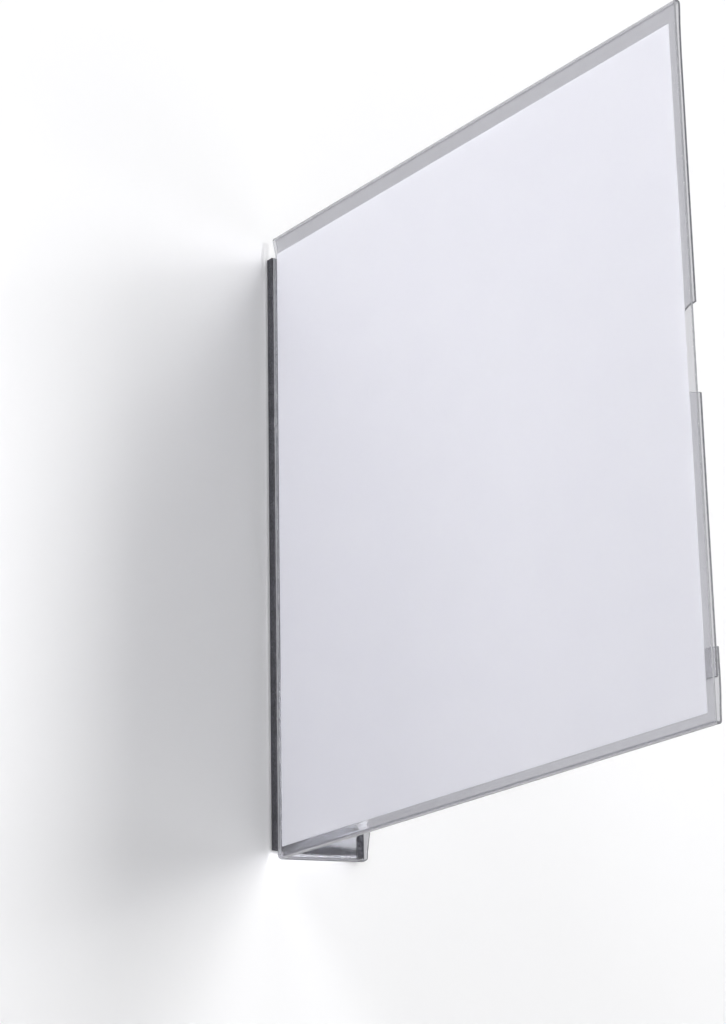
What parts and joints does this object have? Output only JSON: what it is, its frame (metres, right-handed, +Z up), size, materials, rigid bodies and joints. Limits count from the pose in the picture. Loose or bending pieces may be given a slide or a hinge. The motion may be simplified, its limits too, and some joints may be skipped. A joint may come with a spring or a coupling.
{
  "type": "projecting sign holder",
  "caption": "Clear folded-plastic pocket for a square card that stands out from a wall at a right angle, with a flange stuck on by foam tape.",
  "frame": {"origin": "centre of the foam tape's wall face", "axes": "+Y into the wall, so the sign stands out along -Y; +Z up; +X along the wall, the way the flange turns"},
  "size_m": [0.0258, 0.1569, 0.1575],
  "materials": {
    "clear_plastic": "clear, glossy",
    "foam": "matte closed-cell foam",
    "white_card": "smooth matte"
  },
  "bodies": {
    "holder": {"clear_holder": "clear_plastic", "foam_tape": "foam"},
    "insert": {"insert_card": "white_card"}
  },
  "joints": [
    {"name": "insert_slide", "type": "slide", "parent": "holder", "child": "insert", "axis": [0, -1, 0], "range_m": [0, 0.156]}
  ]
}
